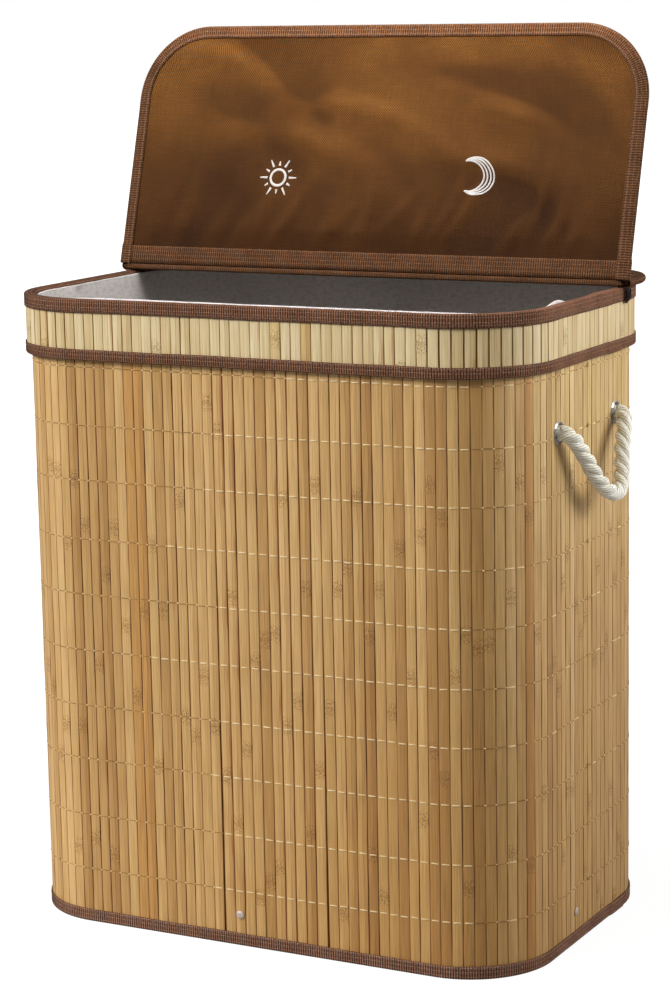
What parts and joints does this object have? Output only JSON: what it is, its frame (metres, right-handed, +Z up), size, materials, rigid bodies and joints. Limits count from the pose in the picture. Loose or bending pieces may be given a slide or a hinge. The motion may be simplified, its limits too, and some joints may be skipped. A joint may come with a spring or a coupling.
{
  "type": "laundry hamper",
  "caption": "Tall laundry hamper of bamboo slats with rounded corners, a cloth liner parted into bins, a cloth-lined lid hinged behind the rim and rope handles.",
  "frame": {"origin": "on the floor, at the middle of the plan", "axes": "+Z up, -Y the front, +X to the right as seen from the front"},
  "size_m": [0.5962, 0.3468, 0.8399],
  "materials": {
    "bamboo": "satin split bamboo",
    "pale_bamboo": "satin split bamboo, paler",
    "board": "fibreboard",
    "tape": "ribbed woven tape",
    "lining": "plain weave cloth",
    "liner": "plain weave cloth",
    "hook_tape": "hook and loop",
    "rope": "twisted cotton",
    "eyelet_steel": "polished",
    "strap_steel": "drawn and rolled steel"
  },
  "bodies": {
    "body": {"front_board": "board", "back_board": "board", "right_board": "board", "left_board": "board", "front_right_corner_board": "board", "front_left_corner_board": "board", "back_right_corner_board": "board", "back_left_corner_board": "board", "front_left_slats": "bamboo", "front_centre_slats": "bamboo", "front_right_slats": "bamboo", "back_slats": "bamboo", "foot_tape": "tape", "rim_tape": "tape", "rim_hoop": "strap_steel", "collar_tape": "tape", "collar_board": "board", "collar_slats": "pale_bamboo", "floor_board": "board", "front_strap": "strap_steel", "right_strap": "strap_steel", "back_strap": "strap_steel", "left_strap": "strap_steel", "front_rivet": "strap_steel", "right_rivet": "strap_steel", "back_rivet": "strap_steel", "left_rivet": "strap_steel", "right_front_eyelet": "eyelet_steel", "left_front_eyelet": "eyelet_steel", "right_rear_eyelet": "eyelet_steel", "left_rear_eyelet": "eyelet_steel", "right_front_washer": "eyelet_steel", "left_front_washer": "eyelet_steel", "right_rear_washer": "eyelet_steel", "left_rear_washer": "eyelet_steel", "right_front_rope_end": "rope", "left_front_rope_end": "rope", "right_rear_rope_end": "rope", "left_rear_rope_end": "rope", "liner_bag": "liner", "liner_divider": "liner", "front_hook_strip": "hook_tape", "back_hook_strip": "hook_tape", "hinge_cloth": "tape", "rear_panel_lining": "lining", "rear_panel_board": "board", "rear_panel_slats": "bamboo", "rear_panel_tape": "tape", "right_tack": "tape", "left_tack": "tape"},
    "lid": {"lid_lining": "lining", "lid_board": "board", "lid_slats": "bamboo", "lid_tape": "tape", "lid_webbing": "tape"},
    "right_handle": {"right_rope_handle": "rope"},
    "left_handle": {"left_rope_handle": "rope"}
  },
  "joints": [
    {"name": "lid_hinge", "type": "hinge", "parent": "body", "child": "lid", "pos_m": [0, 0.0706, 0.60395], "axis": [1, 0, 0], "range_deg": [0, 106.3]},
    {"name": "right_handle_swing", "type": "hinge", "parent": "body", "child": "right_handle", "pos_m": [0.2725, 0, 0.485], "axis": [0, -1, 0], "range_deg": [0, 150]},
    {"name": "left_handle_swing", "type": "hinge", "parent": "body", "child": "left_handle", "pos_m": [-0.2725, 0, 0.485], "axis": [0, 1, 0], "range_deg": [0, 150]}
  ]
}
